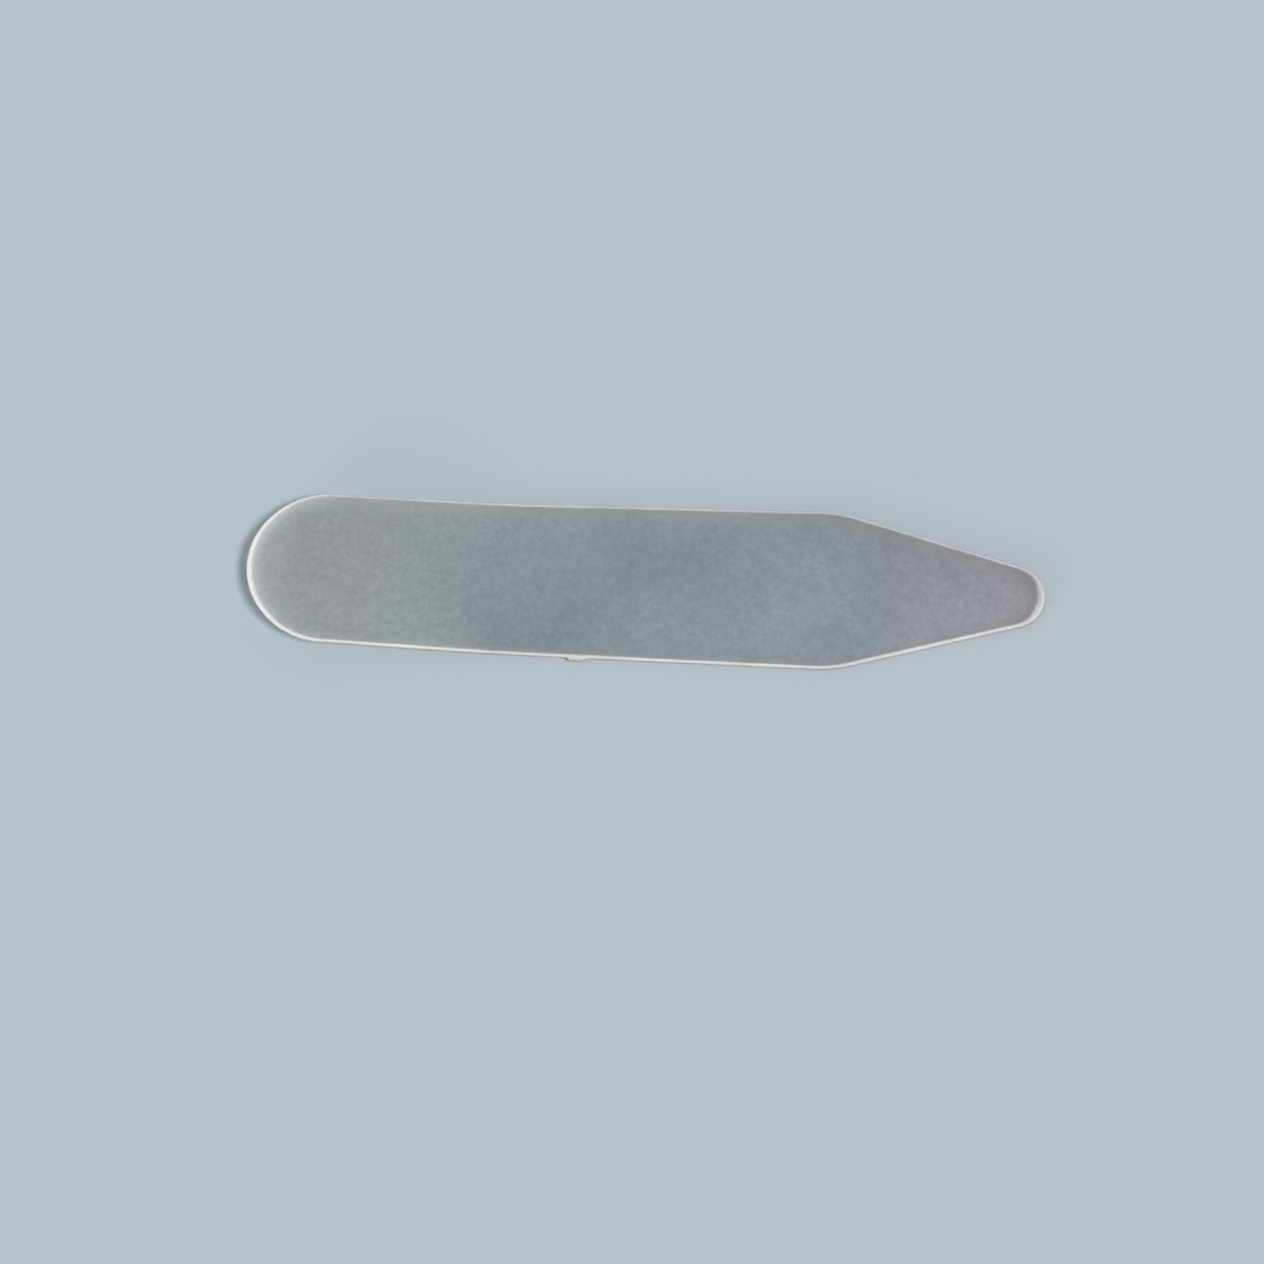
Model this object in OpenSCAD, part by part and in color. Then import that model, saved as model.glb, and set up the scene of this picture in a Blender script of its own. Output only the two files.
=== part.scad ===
// Collar stay: a thin plastic blade with a round head, two long sides and a taper to a small rounded tip.
// It slides tip first into the pocket under a shirt collar and keeps the collar point straight.
// It lies on its flat underside, with its head end bent a little upwards.
// The tip points along +X, and +Z is up. The origin is at the bottom centre of the blade's box.
// Sizes are in millimetres and angles in degrees.

/* [Blade] */
// Length from the end of the head to the tip
blade_length = 56; // [50:0.5:64]
// Width of the head, where the long sides begin
head_width = 10.7; // [10.2:0.1:11.4]
// Width across the shoulders, the widest place
shoulder_width = 11.2; // [10.4:0.1:12.4]
// Thickness of the plastic
thickness = 0.6; // [0.4:0.05:1]

/* [Head] */
// Radius of the end of the head
nose_radius = 5; // [4:0.1:5]
// Larger radius that leads from the end of the head into each long side
flank_radius = 5.8; // [5.8:0.1:8]

/* [Tip] */
// Length of the taper, from the shoulders to the tip
taper_length = 14.3; // [11:0.1:18]
// Radius that rounds each shoulder
shoulder_radius = 10; // [1:0.5:16]
// Radius of the tip
tip_radius = 2.15; // [1.2:0.05:3]

/* [Bend] */
// Length of the head end that is off the surface, seen from above
raised_length = 22; // [16:0.5:25]
// Radius of the bend, on the underside
bend_radius = 65; // [20:1:80]
// Slope of the straight stretch between the bend and the end of the head
raise_angle = 7; // [1:0.5:9]

/* [Gate nib] */
// Distance of the nib from the end of the head
nib_from_head = 23.9; // [10:0.1:30]
// Length of the nib along the side
nib_length = 1.7; // [0.6:0.1:2]
// Height of the nib above the side
nib_height = 0.2; // [0.05:0.05:0.3]

/* [Hidden] */
$fn = 180;

// Steps in a full turn of the bend's large circles
bend_steps = 720;

// How far a cutting shape reaches past what it cuts
margin = 1;

// How far a round surface stands outside the ones that it runs into, so that they cross and don't just touch
hair = 0.002;

// Side of a square that covers the whole blade from any point of it, and more than the bend's whole circle
reach = 3 * blade_length + 2 * bend_radius;

head_x = -blade_length / 2;
tip_x = blade_length / 2;
head_half = head_width / 2;
shoulder_half = shoulder_width / 2;

// The corner where a long side and the taper would meet if the shoulder were sharp
corner = [tip_x - taper_length, shoulder_half];

nose_centre = [head_x + nose_radius, 0];
tip_centre = [tip_x - tip_radius, 0];

// The flank arc peaks at half the head's width, and the nose circle touches it from inside
flank_drop = flank_radius - head_half;
flank_centre = nose_centre + [sqrt(pow(flank_radius - nose_radius, 2) - pow(flank_drop, 2)), -flank_drop];

// A point on a circle, by its angle from +X
function on_circle(centre, radius, angle) = centre + radius * [cos(angle), sin(angle)];

// Direction from one point to another, as an angle from +X
function heading(from, to) = atan2(to.y - from.y, to.x - from.x);

// Angle at which a line from point p touches a circle. Seen from the centre towards p, a side of 1 picks the
// touching point on the left, and -1 the one on the right.
function touch_angle(centre, radius, p, side) = heading(centre, p) + side * acos(radius / norm(p - centre));

// The outward directions of the long side, of the taper, and of the shoulder between them
side_normal = touch_angle(flank_centre, flank_radius, corner, 1);
taper_normal = touch_angle(tip_centre, tip_radius, corner, -1);
shoulder_facing = (side_normal + taper_normal) / 2;

// The shoulder arc touches the side and the taper
shoulder_centre = on_circle(corner, -shoulder_radius / cos(side_normal - shoulder_facing), shoulder_facing);

// Where arcs and lines meet, from the head to the tip
nose_end = on_circle(nose_centre, nose_radius, heading(flank_centre, nose_centre));
side_start = on_circle(flank_centre, flank_radius, side_normal);
side_end = on_circle(shoulder_centre, shoulder_radius, side_normal);
taper_end = on_circle(tip_centre, tip_radius, taper_normal);

// Half of the blade's width between its long sides, at any place along X
function side_y(x) = corner.y + (corner.x - x) / tan(side_normal);

// Where the two tapers would meet if the tip were sharp
apex_x = corner.x + corner.y * tan(taper_normal);

// Where the bend begins, and a height that the raised end stays under
bend_x = head_x + raised_length;
top_z = raised_length * sin(raise_angle) + thickness + margin;

// The nib is the part of a small disc that stands out of the side
nib_radius = (pow(nib_length / 2, 2) + pow(nib_height, 2)) / (2 * nib_height);
nib_x = head_x + nib_from_head;
nib_y = side_y(nib_x) + nib_height - nib_radius;

// All the space above one face of the plastic, from the centre of the bend: the face is flat towards the tip,
// round about the centre, and slopes up towards the head. The space reaches far past the blade on every other side.
module above_face(radius, far) {
    rotate([90, 0, 0]) cylinder(h = 2 * far, r = radius, center = true, $fn = bend_steps);
    translate([0, -far, -radius]) cube([far, 2 * far, far]);
    rotate([0, raise_angle, 0]) translate([-far, -far, hair - radius]) cube([far, 2 * far, far]);
}

// The bent sheet, before any outline is cut from it
module bent_sheet() {
    translate([bend_x, 0, bend_radius])
        difference() {
            above_face(bend_radius, reach);
            above_face(bend_radius - thickness, reach + margin);
        }
}

// A column over a flat shape, taller than the blade
module column() {
    translate([0, 0, -margin])
        linear_extrude(height = top_z + margin)
            children();
}

// The blade seen from above, with sharp shoulders, a sharp tip and an open head
module sharp_outline() {
    open_x = head_x - margin;
    column() polygon([
        [open_x, side_y(open_x)],
        corner,
        [apex_x, 0],
        [corner.x, -corner.y],
        [open_x, -side_y(open_x)]
    ]);
}

// What a rounding keeps: its disc, and everything behind the line through a point where the arc ends. The
// direction from the blade to the rounding is an angle from +X.
module rounding(centre, radius, point, direction) {
    column() translate(centre) circle(radius + hair);
    column() translate(point) rotate(direction) translate([-reach, -reach / 2]) square(reach);
}

// The end of the head. Its disc stands out twice as far as the flank discs, which it touches from inside.
module nose_rounding() {
    rounding(nose_centre, nose_radius + hair, nose_end, 180);
}

// The arc on the +Y side of the head
module flank_rounding() {
    rounding(flank_centre, flank_radius, side_start, 180);
}

// The shoulder on the +Y side
module shoulder_rounding() {
    rounding(shoulder_centre, shoulder_radius, side_end, shoulder_facing);
}

module tip_rounding() {
    rounding(tip_centre, tip_radius, taper_end, 0);
}

// The nib left on the -Y side where the plastic was cut from its mould
module gate_nib() {
    intersection() {
        bent_sheet();
        column() translate([nib_x, -nib_y]) circle(nib_radius);
    }
}

module stay_blade() {
    color([0.6, 0.66, 0.68, 0.75]) {
        intersection() {
            bent_sheet();
            sharp_outline();
            nose_rounding();
            flank_rounding();
            mirror([0, 1, 0]) flank_rounding();
            shoulder_rounding();
            mirror([0, 1, 0]) shoulder_rounding();
            tip_rounding();
        }
        gate_nib();
    }
}

stay_blade();
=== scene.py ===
import math

import bmesh
import bpy
import numpy as np
from mathutils import Matrix, Vector


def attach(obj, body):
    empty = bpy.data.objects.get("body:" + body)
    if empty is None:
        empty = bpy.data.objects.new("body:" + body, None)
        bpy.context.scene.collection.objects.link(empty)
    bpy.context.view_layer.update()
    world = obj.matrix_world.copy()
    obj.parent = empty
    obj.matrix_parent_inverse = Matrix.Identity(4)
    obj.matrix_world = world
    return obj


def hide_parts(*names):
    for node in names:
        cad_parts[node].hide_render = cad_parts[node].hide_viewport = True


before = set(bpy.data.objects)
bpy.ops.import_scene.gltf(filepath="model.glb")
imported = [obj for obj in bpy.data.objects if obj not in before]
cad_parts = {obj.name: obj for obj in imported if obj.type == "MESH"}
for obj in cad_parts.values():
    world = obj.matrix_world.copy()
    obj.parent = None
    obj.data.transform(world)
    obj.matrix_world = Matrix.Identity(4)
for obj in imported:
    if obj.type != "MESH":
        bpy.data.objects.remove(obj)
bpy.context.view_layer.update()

# A millimetre in metres. Blender's objects are in metres, and all sizes below are in millimetres and degrees
# unless their comment says otherwise.
MM = 0.001

# Sizes of the blade, as in the solid's source
LENGTH = 56
HEAD_WIDTH = 10.7
SHOULDER_WIDTH = 11.2
THICKNESS = 0.6
NOSE_RADIUS = 5
FLANK_RADIUS = 5.8
TAPER_LENGTH = 14.3
SHOULDER_RADIUS = 10
TIP_RADIUS = 2.15
RAISED_LENGTH = 22
BEND_RADIUS = 65
RAISE_ANGLE = 7
NIB_FROM_HEAD = 23.9
NIB_LENGTH = 1.7
NIB_HEIGHT = 0.2

# The end of the head, the end of the tip, and the place where the bend begins, along X
HEAD_X = -LENGTH / 2
TIP_X = LENGTH / 2
BEND_X = HEAD_X + RAISED_LENGTH

# Radius of the moulded edges, the steps in each rounding, and how far the underside keeps off the floor
EDGE_RADIUS = 0.15
EDGE_STEPS = 6
FLOOR_GAP = 0.02

# The stretches in which the nib rises, from the head's side, and falls again, as shares of half its length
NIB_RISE = 0.25
NIB_FALL = 0.9

# How far in from the rounded edge the two faces follow the nib
NIB_DEPTH = 0.12

# The sheet's broad and fine waves: their heights, how far they run along X and Y for one radian, and the
# angles at which the broad one starts, in radians
BROAD_HEIGHT = 0.018
FINE_HEIGHT = 0.012
BROAD_RUN = (5.1, 4.3)
FINE_RUN = (2.9, 2.2)
BROAD_START = (0.7, 0.4)

# Spacing of the outline's points, and the fewest steps in one arc or line
HEAD_SPACING = 0.2
SIDE_SPACING = 0.25
NIB_SPACING = 0.04
TAPER_SPACING = 0.3
TIP_SPACING = 0.1
FEWEST_STEPS = 2

# Depths of the rings of points near the edge of each face. The rings further in lie at shares of the way
# from the deepest of these to the middle line.
RING_DEPTHS = (1.15, 0.85, 0.62, 0.5, 0.4, 0.33, 0.27, 0.22, 0.18)
INNER_SHARES = (1, 0.85, 0.7, 0.55, 0.4, 0.25, 0.12)

# How near to each other points are joined, in metres
WELD_DISTANCE = 0.01 * MM

# Reach of the painted glow of light at the edge: on the -Y side, at the end of the head, and at the tip
SIDE_GLOW = 0.28
HEAD_GLOW = 0.55
TIP_GLOW = 0.9

# The share by which this reach grows towards -Y and shrinks towards +Y, along the sides and at the tip
# This lean is painted light: one side of the edge is lit more than the other.
SIDE_LEAN = 0.15
TIP_LEAN = 0.3

# How steeply the painted glow fades inwards, along the sides and at the tip, and what is added to the power
# of this fading at the two ends
SIDE_STEEPNESS = 1.6
TIP_STEEPNESS = 1.2
END_POWER = 0.8

# How strong the painted glow is on the edge's wall and underside, and on the outer part of the nib, beside
# the top of the edge, where it is painted strongest as lit from above
WALL_GLOW = 0.4
NIB_GLOW = 0.6

# How far out on the nib its outer part begins
NIB_FADE = 0.12

# Width of the warmer band inside the edge, the shares by which it is wider towards +Y and at the tip, and
# how steeply it fades
BAND_WIDTH = 0.95
BAND_LEAN = 0.35
BAND_AT_TIP = 0.8
BAND_STEEPNESS = 2

# How far in from the edge the head's plastic is hazier and painted lighter as sheen, and how far along
# from its end
HAZE_DEPTH = 1.6
HAZE_LENGTH = 6

# The colour sockets of a Mix node, by number: its two inputs and its result
FIRST_COLOUR = 6
SECOND_COLOUR = 7
MIXED_COLOUR = 2

# How far the floor reaches from the middle, in metres
FLOOR_REACH = 3

# The photograph's side and the focal length in pixels, and the width of the camera's sensor
IMAGE_SIDE = 1264
FOCAL_PIXELS = 2600
SENSOR = 36

# Where the camera looks on the floor, its direction and roll in radians, and its distance. The place and the
# distance are in metres.
CAMERA_TARGET = Vector((-0.504, -3.374, 0)) * MM
CAMERA_AZIMUTH = math.radians(36.05)
CAMERA_ELEVATION = math.radians(76)
CAMERA_ROLL = math.radians(-33.02)
CAMERA_DISTANCE = 182.2 * MM


def arc(centre, radius, start, end, spacing):
    """Points along an arc, by its start and end angles from +X."""
    steps = max(FEWEST_STEPS, math.ceil(abs(end - start) * radius / spacing))
    angles = np.linspace(start, end, steps + 1)
    return np.stack([centre[0] + radius * np.cos(angles), centre[1] + radius * np.sin(angles)], 1)


def line(start, end, spacing):
    """Points along a straight line."""
    steps = max(FEWEST_STEPS, math.ceil(np.linalg.norm(end - start) / spacing))
    return start + (end - start) * np.linspace(0, 1, steps + 1)[:, None]


def touch_angle(centre, radius, point, side):
    """Angle at which a line from a point touches a circle. Seen from the centre towards the point, a side of
    1 picks the touching point on the left, and -1 the one on the right."""
    away = point - centre
    return math.atan2(away[1], away[0]) + side * math.acos(radius / np.linalg.norm(away))


def long_side(start, end):
    """Points along a long side, closest together where the nib is."""
    nib_x = HEAD_X + NIB_FROM_HEAD + np.array([-NIB_LENGTH, NIB_LENGTH]) / 2
    shares = (nib_x - start[0]) / (end[0] - start[0])
    nib_start, nib_end = start + np.outer(shares, end - start)
    return np.vstack([
        line(start, nib_start, SIDE_SPACING),
        line(nib_start, nib_end, NIB_SPACING)[1:],
        line(nib_end, end, SIDE_SPACING)[1:],
    ])


def half_outline():
    """The blade seen from above, on its +Y side, from the end of the head to the tip."""
    nose = np.array([HEAD_X + NOSE_RADIUS, 0.0])
    tip = np.array([TIP_X - TIP_RADIUS, 0.0])

    # The flank arc peaks at half the head's width, and the nose circle touches it from inside
    drop = FLANK_RADIUS - HEAD_WIDTH / 2
    flank = nose + [math.sqrt((FLANK_RADIUS - NOSE_RADIUS) ** 2 - drop ** 2), -drop]
    join = math.atan2(nose[1] - flank[1], nose[0] - flank[0])

    # The long side and the taper would meet at this corner, and the shoulder arc touches both
    corner = np.array([TIP_X - TAPER_LENGTH, SHOULDER_WIDTH / 2])
    side_normal = touch_angle(flank, FLANK_RADIUS, corner, 1)
    taper_normal = touch_angle(tip, TIP_RADIUS, corner, -1)
    facing = (side_normal + taper_normal) / 2
    from_corner = SHOULDER_RADIUS / math.cos(side_normal - facing)
    shoulder = corner - from_corner * np.array([math.cos(facing), math.sin(facing)])

    nose_arc = arc(nose, NOSE_RADIUS, math.pi, join, HEAD_SPACING)
    flank_arc = arc(flank, FLANK_RADIUS, join, side_normal, HEAD_SPACING)
    shoulder_arc = arc(shoulder, SHOULDER_RADIUS, side_normal, taper_normal, SIDE_SPACING)
    tip_arc = arc(tip, TIP_RADIUS, taper_normal, 0, TIP_SPACING)
    side = long_side(flank_arc[-1], shoulder_arc[0])
    taper = line(shoulder_arc[-1], tip_arc[0], TAPER_SPACING)
    return np.vstack([nose_arc, flank_arc[1:], side[1:], shoulder_arc[1:], taper[1:], tip_arc[1:]])


def full_outline():
    """The closed outline, anticlockwise seen from above, without the nib."""
    upper = half_outline()
    return np.vstack([upper * [1, -1], upper[-2:0:-1]])


def smooth_step(share):
    """A smooth rise from 0 to 1, as the share goes from 0 to 1."""
    share = np.clip(share, 0, 1)
    return share * share * (3 - 2 * share)


def nib_profile(edge):
    """How much of the nib's height each point of the outline has. It rises steeply and falls slowly."""
    along = (edge[:, 0] - HEAD_X - NIB_FROM_HEAD) / (NIB_LENGTH / 2)
    profile = smooth_step((1 + along) / NIB_RISE) * smooth_step((1 - along) / NIB_FALL)
    return np.where(edge[:, 1] < 0, profile, 0)


def outward(points):
    """The outward normal at each point of a closed anticlockwise outline."""
    along = np.roll(points, -1, 0) - np.roll(points, 1, 0)
    normals = np.stack([along[:, 1], -along[:, 0]], 1)
    return normals / np.linalg.norm(normals, axis=1)[:, None]


def bend(flat):
    """Bends flat points: the head end rises as a smooth curve and a straight slope. Walls stay square."""
    slope = math.radians(RAISE_ANGLE)
    from_bend = np.clip(BEND_X - flat[:, 0], 0, None)
    on_curve = np.minimum(from_bend, BEND_RADIUS * math.sin(slope))
    angle = np.arcsin(on_curve / BEND_RADIUS)
    rise = BEND_RADIUS * (1 - np.cos(angle)) + (from_bend - on_curve) * math.tan(slope)
    return np.stack([
        flat[:, 0] + flat[:, 2] * np.sin(angle),
        flat[:, 1],
        rise + flat[:, 2] * np.cos(angle),
    ], 1)


def waviness(flat):
    """How far the whole sheet is lifted at each point, as in thin moulded plastic that isn't quite flat."""
    x, y = flat[:, 0], flat[:, 1]
    broad = np.sin(x / BROAD_RUN[0] + BROAD_START[0]) * np.cos(y / BROAD_RUN[1] + BROAD_START[1])
    fine = np.sin(x / FINE_RUN[0] + y / FINE_RUN[1])
    return (BROAD_HEIGHT * (1 + broad) + FINE_HEIGHT * (1 + fine)) / 2


def facing_tip(normals):
    """How squarely each part of the edge faces the tip, from 0 to 1."""
    return np.clip(normals[:, 0], 0, 1) ** 2


def painted_edge_glow(normals, depth, height):
    """How strong the painted glow is near the edge, from 1 to 0: light coming out of the edges, painted as
    whiter plastic. It reaches furthest in at the two ends and least at +Y, and it fades most slowly at the
    tip.
    It is painted strongest on top, as lit from above, and weaker out on the nib, where the depth is
    negative."""
    facing_end = normals[:, 0] ** 2
    side = SIDE_GLOW * (1 - SIDE_LEAN * normals[:, 1]) / (1 + SIDE_LEAN)
    end = np.where(normals[:, 0] < 0, HEAD_GLOW, TIP_GLOW * (1 - TIP_LEAN * normals[:, 1]))
    reach = side + (end - side) * facing_end
    steepness = SIDE_STEEPNESS + (TIP_STEEPNESS - SIDE_STEEPNESS) * facing_tip(normals)
    fading = smooth_step(steepness * (1 - depth / reach)) ** (1 + END_POWER * facing_end)

    above_middle = max(0, 2 * height / THICKNESS - 1)
    strength = WALL_GLOW + (1 - WALL_GLOW) * above_middle ** 2
    on_nib = 1 - (1 - NIB_GLOW) * smooth_step(-depth / NIB_FADE)
    return strength * on_nib * fading


def edge_band(normals, depth):
    """How warm the plastic's tint is inside the edge, from 1 to 0. This band is widest at the tip."""
    width = BAND_WIDTH * (1 + BAND_LEAN * normals[:, 1] + BAND_AT_TIP * facing_tip(normals))
    return smooth_step(BAND_STEEPNESS * (1 - depth / width))


def head_haze_and_sheen(ring, depth):
    """How much hazier the plastic is near the end of the head, and how much lighter it is painted there as
    sheen, from 1 to 0.
    """
    from_end = ring[:, 0] - HEAD_X
    return np.clip(1 - depth / HAZE_DEPTH, 0, 1) ** 2 * np.clip(1 - from_end / HAZE_LENGTH, 0, 1)


def top_rings(edge, normals):
    """Rings of points from the middle of the top face to the widest line of the edge, each with its height
    and its depth inside the outline without the nib."""
    spine = np.zeros_like(edge)
    spine[:, 0] = np.clip(edge[:, 0], HEAD_X + NOSE_RADIUS, TIP_X - TIP_RADIUS)
    shelf = edge - normals * RING_DEPTHS[0]
    rings = []
    for share in INNER_SHARES:
        ring = shelf + (spine - shelf) * share
        rings.append((ring, THICKNESS, np.linalg.norm(ring - edge, axis=1)))

    turn = np.linspace(0, math.pi / 2, EDGE_STEPS + 1)
    depths = np.concatenate([RING_DEPTHS, EDGE_RADIUS * (1 - np.sin(turn))])
    drops = np.concatenate([np.zeros(len(RING_DEPTHS)), EDGE_RADIUS * (1 - np.cos(turn))])
    nib = NIB_HEIGHT * nib_profile(edge)
    for depth, drop in zip(depths, drops):
        shift = nib * np.clip(1 - (depth - EDGE_RADIUS) / NIB_DEPTH, 0, 1) ** 2
        ring = edge - normals * depth
        ring[:, 1] -= shift
        rings.append((ring, THICKNESS - drop, depth - shift))
    return rings


def faces_between(ring_count, count):
    """The faces that join each ring of points to the next. Each ring has the same count of points."""
    faces = []
    for start in range(0, (ring_count - 1) * count, count):
        for i in range(count):
            j = (i + 1) % count
            faces.append((start + i, start + count + i, start + count + j, start + j))
    return faces


def add_blade():
    """The blade as one mesh, from the middle of its top face out over the edge and back to the middle of its
    underside. Each point keeps four values for the material."""
    edge = full_outline()
    normals = outward(edge)
    rings = top_rings(edge, normals)
    rings += [(ring, THICKNESS - height, depth) for ring, height, depth in reversed(rings)]
    # Painted light among these values: the glow at the edges and the lighter sheen near the head's end.
    values = {
        "painted_edge_glow": [painted_edge_glow(normals, depth, height) for _, height, depth in rings],
        "edge_band": [edge_band(normals, depth) for _, _, depth in rings],
        "head_haze_and_sheen": [head_haze_and_sheen(ring, depth) for ring, _, depth in rings],
        "along": [(ring[:, 0] - HEAD_X) / LENGTH for ring, _, _ in rings],
    }

    count = len(edge)
    flat = np.vstack([np.column_stack([ring, np.full(count, height)]) for ring, height, _ in rings])
    points = bend(flat)
    points[:, 2] += waviness(flat)
    points[:, 2] += FLOOR_GAP

    mesh = bpy.data.meshes.new("blade")
    mesh.from_pydata((points * MM).tolist(), [], faces_between(len(rings), count))
    for name, numbers in values.items():
        attribute = mesh.attributes.new(name, "FLOAT", "POINT")
        attribute.data.foreach_set("value", np.concatenate(numbers).astype(np.float32))
    blade = bpy.data.objects.new("blade", mesh)
    bpy.context.scene.collection.objects.link(blade)
    return blade


def weld(piece, distance):
    """Joins points that lie together, which closes the mesh along its two middle lines. It also drops faces
    with no area, turns all faces outwards and makes them smooth."""
    work = bmesh.new()
    work.from_mesh(piece.data)
    bmesh.ops.remove_doubles(work, verts=work.verts, dist=distance)
    bmesh.ops.recalc_face_normals(work, faces=work.faces)
    for face in work.faces:
        face.smooth = True
    work.to_mesh(piece.data)
    work.free()


def grey(value):
    """A colour whose three parts are the same."""
    return (value, value, value)


class Nodes:
    """Short ways to add and join the nodes of one material."""

    def __init__(self, name):
        self.material = bpy.data.materials.new(name)
        self.material.use_nodes = True
        self.tree = self.material.node_tree
        self.shader = self.tree.nodes["Principled BSDF"]

    def add(self, kind, **values):
        node = self.tree.nodes.new(kind)
        for name, value in values.items():
            setattr(node, name, value)
        return node

    def link(self, source, target):
        self.tree.links.new(source, target)

    def attribute(self, name):
        """A value that each point of the mesh keeps."""
        return self.add("ShaderNodeAttribute", attribute_name=name).outputs["Fac"]

    def noise(self, place, scale, detail, roughness):
        """Noise over the surface. The scale is in cycles for each metre."""
        texture = self.add("ShaderNodeTexNoise")
        texture.inputs["Scale"].default_value = scale
        texture.inputs["Detail"].default_value = detail
        texture.inputs["Roughness"].default_value = roughness
        self.link(place, texture.inputs["Vector"])
        return texture.outputs["Fac"]

    def ramp(self, source, stops):
        """Values or colours by place along the source, as (position, value) pairs."""
        node = self.add("ShaderNodeValToRGB")
        elements = node.color_ramp.elements
        middle = 0.5
        while len(elements) < len(stops):
            elements.new(middle)
        for element, (position, value) in zip(elements, stops):
            colour = value if isinstance(value, tuple) else grey(value)
            element.position = position
            element.color = (*colour, 1)
        self.link(source, node.inputs["Fac"])
        return node.outputs["Color"]

    def vary(self, noise, low, high, margin=0.3):
        """Goes from one value to another with the noise, starting and stopping a margin inside 0 and 1."""
        return self.ramp(noise, [(margin, low), (1 - margin, high)])

    def mix(self, share, first, second):
        """Goes from the first colour to the second with the share. The second may be a plain colour."""
        node = self.add("ShaderNodeMix", data_type="RGBA")
        self.link(share, node.inputs["Factor"])
        self.link(first, node.inputs[FIRST_COLOUR])
        if isinstance(second, tuple):
            node.inputs[SECOND_COLOUR].default_value = (*second, 1)
        else:
            self.link(second, node.inputs[SECOND_COLOUR])
        return node.outputs[MIXED_COLOUR]

    def multiply(self, first, second):
        node = self.add("ShaderNodeMix", data_type="RGBA", blend_type="MULTIPLY")
        node.inputs["Factor"].default_value = 1
        self.link(first, node.inputs[FIRST_COLOUR])
        self.link(second, node.inputs[SECOND_COLOUR])
        return node.outputs[MIXED_COLOUR]

    def bump(self, height, strength, distance):
        """Small relief that follows the height. The distance is in metres."""
        node = self.add("ShaderNodeBump")
        node.inputs["Strength"].default_value = strength
        node.inputs["Distance"].default_value = distance
        self.link(height, node.inputs["Height"])
        return node.outputs["Normal"]


def frosted_plastic():
    """Hazy plastic that lets light through. Its tint changes along the blade and is painted lighter at both
    ends as sheen, and its rims are painted whiter as a glow of light from the edges.
    """
    nodes = Nodes("frosted_plastic")
    inputs = nodes.shader.inputs
    place = nodes.add("ShaderNodeTexCoord").outputs["Object"]
    along = nodes.attribute("along")
    haze_and_sheen = nodes.attribute("head_haze_and_sheen")
    grain = nodes.noise(place, scale=2600, detail=2, roughness=0.6)
    mottle = nodes.noise(place, scale=900, detail=3, roughness=0.55)
    cloud = nodes.noise(place, scale=140, detail=3, roughness=0.5)

    # The body's tint from head to tip, painted lighter towards both ends as sheen, with broad clouds,
    # smaller mottling and fine grain
    body_tint_and_sheen = nodes.ramp(along, [
        (0.0, (0.80, 0.805, 0.79)),
        (0.2, (0.757, 0.796, 0.792)),
        (0.5, (0.713, 0.78, 0.806)),
        (0.8, (0.756, 0.794, 0.808)),
        (1.0, (0.86, 0.79, 0.83)),
    ])
    body = nodes.multiply(body_tint_and_sheen, nodes.vary(cloud, 0.93, 0.98))
    body = nodes.multiply(body, nodes.vary(mottle, 0.92, 1.05))
    body = nodes.multiply(body, nodes.vary(grain, 0.84, 1.1))

    # The warmer band inside the edge, and the hazier end of the head, painted lighter as sheen
    band_tint = nodes.ramp(along, [
        (0.0, (0.85, 0.83, 0.84)),
        (0.2, (0.84, 0.80, 0.74)),
        (0.7, (0.80, 0.76, 0.73)),
        (1.0, (0.64, 0.575, 0.61)),
    ])
    haze_and_sheen_tint = (0.92, 0.90, 0.91)
    band = nodes.multiply(nodes.attribute("edge_band"), nodes.vary(mottle, 0.45, 0.7))
    body = nodes.mix(band, body, band_tint)
    body = nodes.mix(haze_and_sheen, body, haze_and_sheen_tint)

    # The rims' painted glow: light coming out of the edges, painted as whiter plastic
    rim_tint = nodes.ramp(along, [
        (0.0, (0.68, 0.69, 0.655)),
        (0.15, (0.67, 0.635, 0.595)),
        (0.6, (0.67, 0.62, 0.59)),
        (1.0, (0.61, 0.58, 0.61)),
    ])
    glow = nodes.multiply(nodes.attribute("painted_edge_glow"), nodes.vary(mottle, 0.7, 1.0))
    glow = nodes.multiply(glow, nodes.vary(cloud, 0.8, 1.0, margin=0.35))
    nodes.link(nodes.mix(glow, body, rim_tint), inputs["Base Color"])

    # How much light goes through: most in the body, less in the haze, and least in the rims
    haze_clearness = grey(0.65)
    rim_clearness = grey(0.15)
    clearness = nodes.mix(haze_and_sheen, nodes.vary(cloud, 0.94, 0.90), haze_clearness)
    nodes.link(nodes.mix(glow, clearness, rim_clearness), inputs["Transmission Weight"])

    # The grain also changes the roughness, and stands out as fine relief
    nodes.link(nodes.vary(grain, 0.44, 0.56), inputs["Roughness"])
    nodes.link(nodes.bump(grain, strength=0.5, distance=0.03 * MM), inputs["Normal"])
    inputs["IOR"].default_value = 1.45
    return nodes.material


def floor_material():
    """Plain, pale and nearly without gloss."""
    nodes = Nodes("pale_floor")
    nodes.shader.inputs["Base Color"].default_value = (0.335, 0.375, 0.4, 1)
    nodes.shader.inputs["Roughness"].default_value = 0.9
    nodes.shader.inputs["Specular IOR Level"].default_value = 0.2
    return nodes.material


def add_floor():
    """One flat square, far wider than the picture."""
    signs = [(-1, -1), (1, -1), (1, 1), (-1, 1)]
    corners = [(x * FLOOR_REACH, y * FLOOR_REACH, 0) for x, y in signs]
    mesh = bpy.data.meshes.new("floor")
    mesh.from_pydata(corners, [], [(0, 1, 2, 3)])
    floor = bpy.data.objects.new("floor", mesh)
    bpy.context.scene.collection.objects.link(floor)
    floor.data.materials.append(floor_material())


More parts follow.
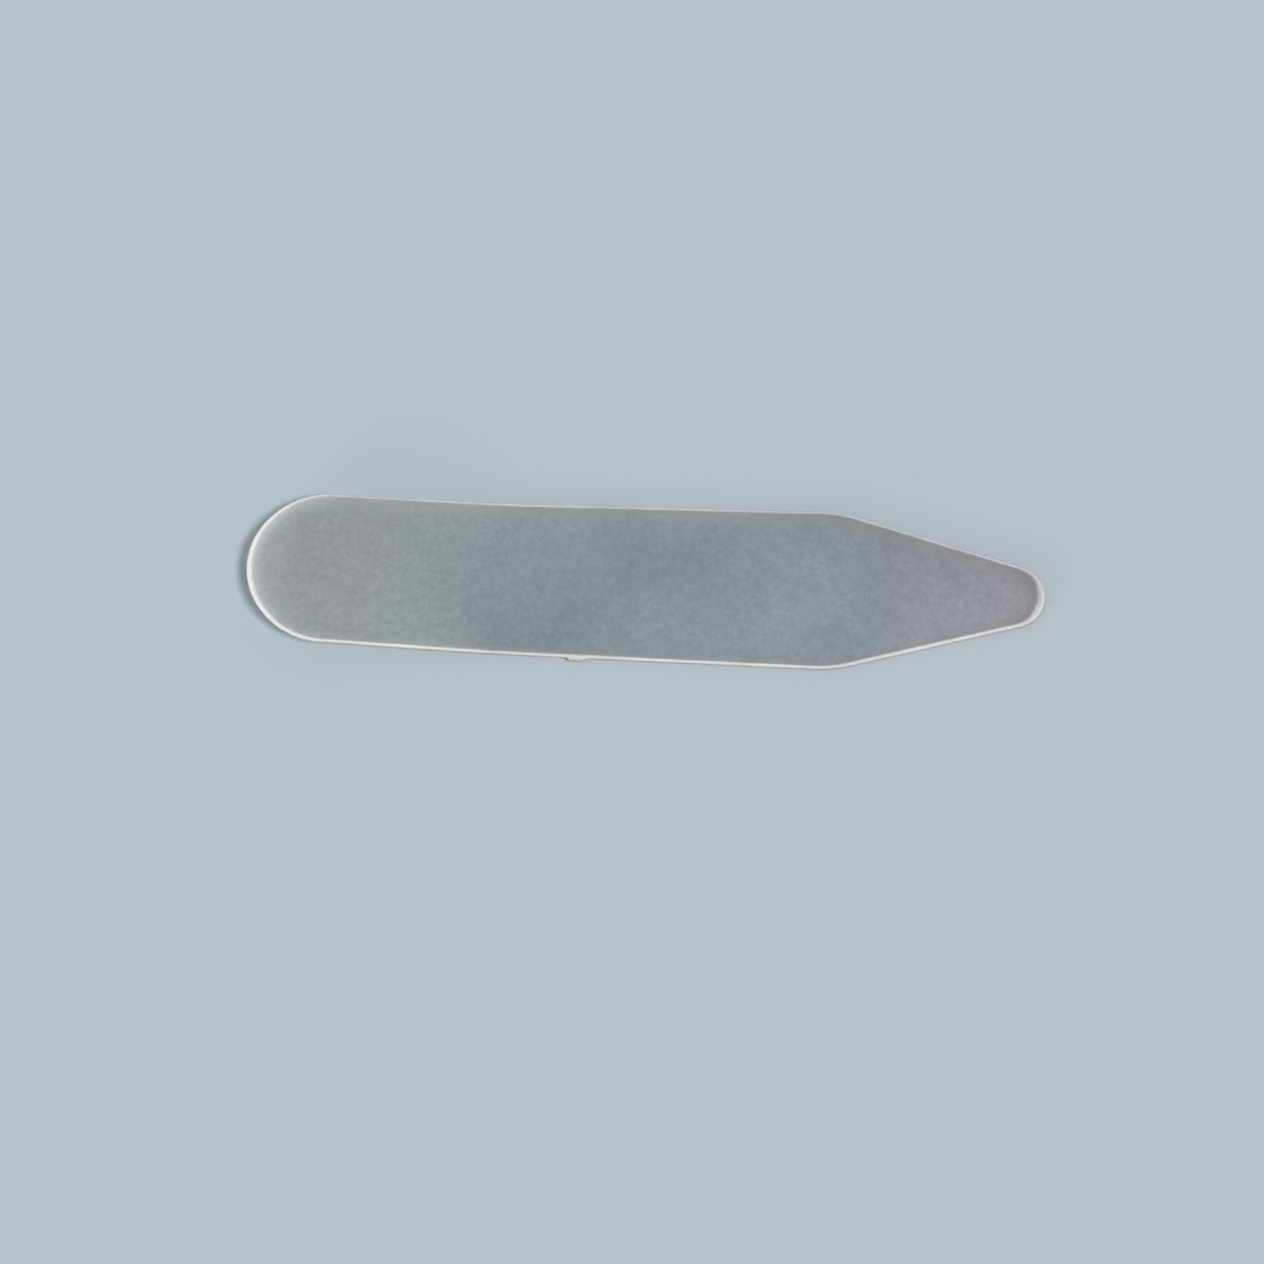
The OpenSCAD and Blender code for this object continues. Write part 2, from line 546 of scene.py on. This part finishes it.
def add_light(name, toward, power, softness, colour):
    """A distant soft light in the given direction from the blade. Its softness is an angle in degrees."""
    data = bpy.data.lights.new(name, "SUN")
    data.energy = power
    data.angle = math.radians(softness)
    data.color = colour
    light = bpy.data.objects.new(name, data)
    light.rotation_euler = (-Vector(toward)).to_track_quat("-Z", "Y").to_euler()
    bpy.context.scene.collection.objects.link(light)


def add_lights():
    """One light high up, a weaker low one, and an even pale sky."""
    add_light("overhead", toward=(0.41, -0.15, 0.75), power=3.0, softness=12, colour=(1.0, 0.985, 0.96))
    add_light("front_left", toward=(-0.4, -0.5, 0.14), power=1.0, softness=25, colour=(1.0, 0.97, 0.93))
    world = bpy.data.worlds.new("studio")
    world.use_nodes = True
    background = world.node_tree.nodes["Background"]
    background.inputs["Color"].default_value = (0.82, 0.943, 1.0, 1)
    background.inputs["Strength"].default_value = 0.57
    bpy.context.scene.world = world


def add_camera():
    """The photograph's camera, rolled about its line of sight so that the blade lies across the picture."""
    sine = math.sin(CAMERA_AZIMUTH)
    cosine = math.cos(CAMERA_AZIMUTH)
    level = math.cos(CAMERA_ELEVATION)
    across = Vector((cosine, sine, 0))
    back = Vector((sine * level, -cosine * level, math.sin(CAMERA_ELEVATION)))
    up = back.cross(across)
    right = across * math.cos(CAMERA_ROLL) + up * math.sin(CAMERA_ROLL)
    upward = up * math.cos(CAMERA_ROLL) - across * math.sin(CAMERA_ROLL)
    data = bpy.data.cameras.new("camera")
    data.sensor_width = SENSOR
    data.lens = FOCAL_PIXELS / IMAGE_SIDE * SENSOR
    data.clip_start = 10 * MM
    camera = bpy.data.objects.new("camera", data)
    bpy.context.scene.collection.objects.link(camera)
    turn = Matrix((right, upward, back)).transposed().to_4x4()
    camera.matrix_world = Matrix.Translation(CAMERA_TARGET + back * CAMERA_DISTANCE) @ turn
    bpy.context.scene.camera = camera


blade = add_blade()
weld(blade, WELD_DISTANCE)
blade.data.materials.append(frosted_plastic())
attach(blade, "root")
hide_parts("stay_blade")

add_floor()
add_lights()
add_camera()
bpy.context.scene.view_settings.view_transform = "Standard"
